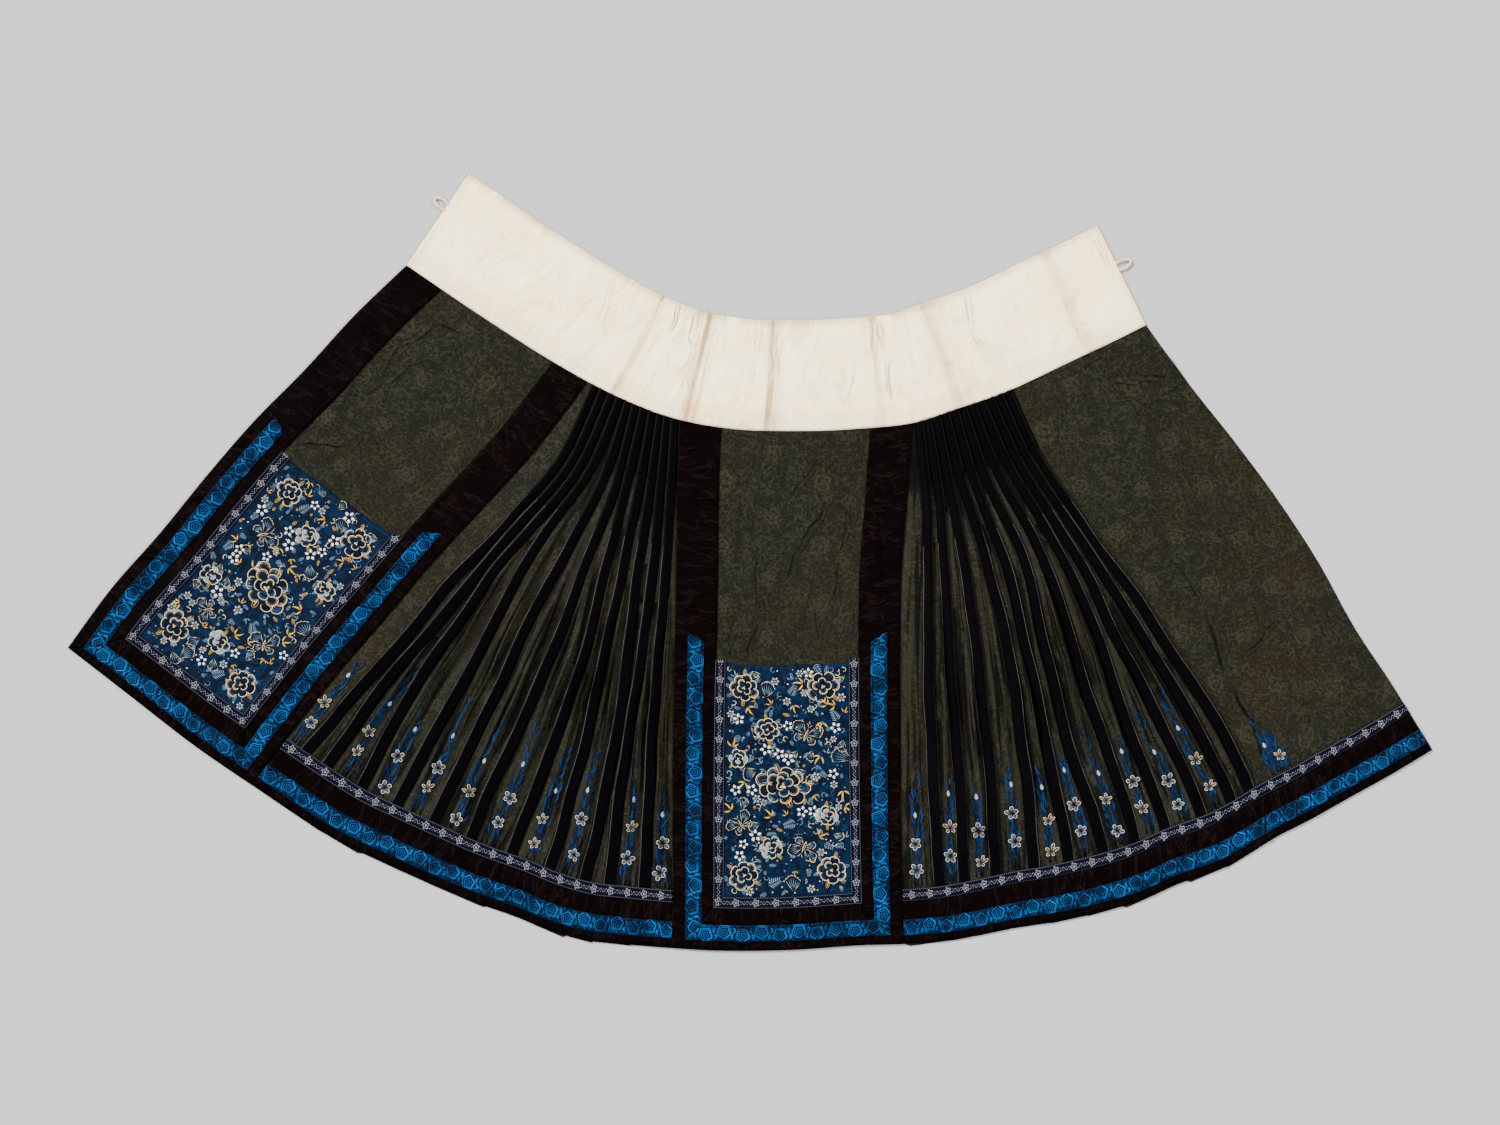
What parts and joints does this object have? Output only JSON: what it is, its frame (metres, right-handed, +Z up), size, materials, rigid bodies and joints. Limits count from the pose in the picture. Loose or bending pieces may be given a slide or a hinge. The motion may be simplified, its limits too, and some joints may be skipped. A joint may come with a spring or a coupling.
{
  "type": "horse-face skirt",
  "caption": "Pleated wraparound skirt laid open as a fan: decorated flat panels and side pleats on one waistband with an eye loop at each end.",
  "frame": {"origin": "middle of the laid-out outline, on the surface that the skirt lies on", "axes": "+X along the skirt's spread from the decorated end panel to the plain end panel, +Y from hem to waistband, +Z up out of the cloth"},
  "size_m": [2.0457, 1.1656, 0.0127],
  "materials": {
    "cotton": "plain-woven undyed cotton, matt",
    "damask": "dark olive figured silk damask, soft sheen",
    "maroon_satin": "very dark maroon satin",
    "black_satin": "near-black satin with a pale couched edge line",
    "ribbon": "bright blue figured ribbon",
    "braid": "narrow navy woven braid with pale flowers",
    "embroidery": "blue ground under silk embroidery with couched outlines"
  },
  "bodies": {
    "root": {"waistband": "cotton", "loop_left": "cotton", "loop_right": "cotton", "left_ground": "damask", "under_panel": "damask", "centre_ground": "damask", "pleats_left": "damask", "pleats_right": "damask", "right_panel": "damask", "left_border": "maroon_satin", "centre_border": "maroon_satin", "hem_border_left": "maroon_satin", "hem_border_right": "maroon_satin", "band_left_01": "black_satin", "band_left_02": "black_satin", "band_left_03": "black_satin", "band_left_04": "black_satin", "band_left_05": "black_satin", "band_left_06": "black_satin", "band_left_07": "black_satin", "band_left_08": "black_satin", "band_left_09": "black_satin", "band_left_10": "black_satin", "band_left_11": "black_satin", "band_right_01": "black_satin", "band_right_02": "black_satin", "band_right_03": "black_satin", "band_right_04": "black_satin", "band_right_05": "black_satin", "band_right_06": "black_satin", "band_right_07": "black_satin", "band_right_08": "black_satin", "band_right_09": "black_satin", "band_right_10": "black_satin", "band_right_11": "black_satin", "left_ribbon": "ribbon", "centre_ribbon": "ribbon", "hem_ribbon_left": "ribbon", "hem_ribbon_right": "ribbon", "left_braid": "braid", "centre_braid": "braid", "hem_braid_left": "braid", "hem_braid_right": "braid", "left_embroidery": "embroidery", "centre_embroidery": "embroidery"}
  },
  "joints": []
}
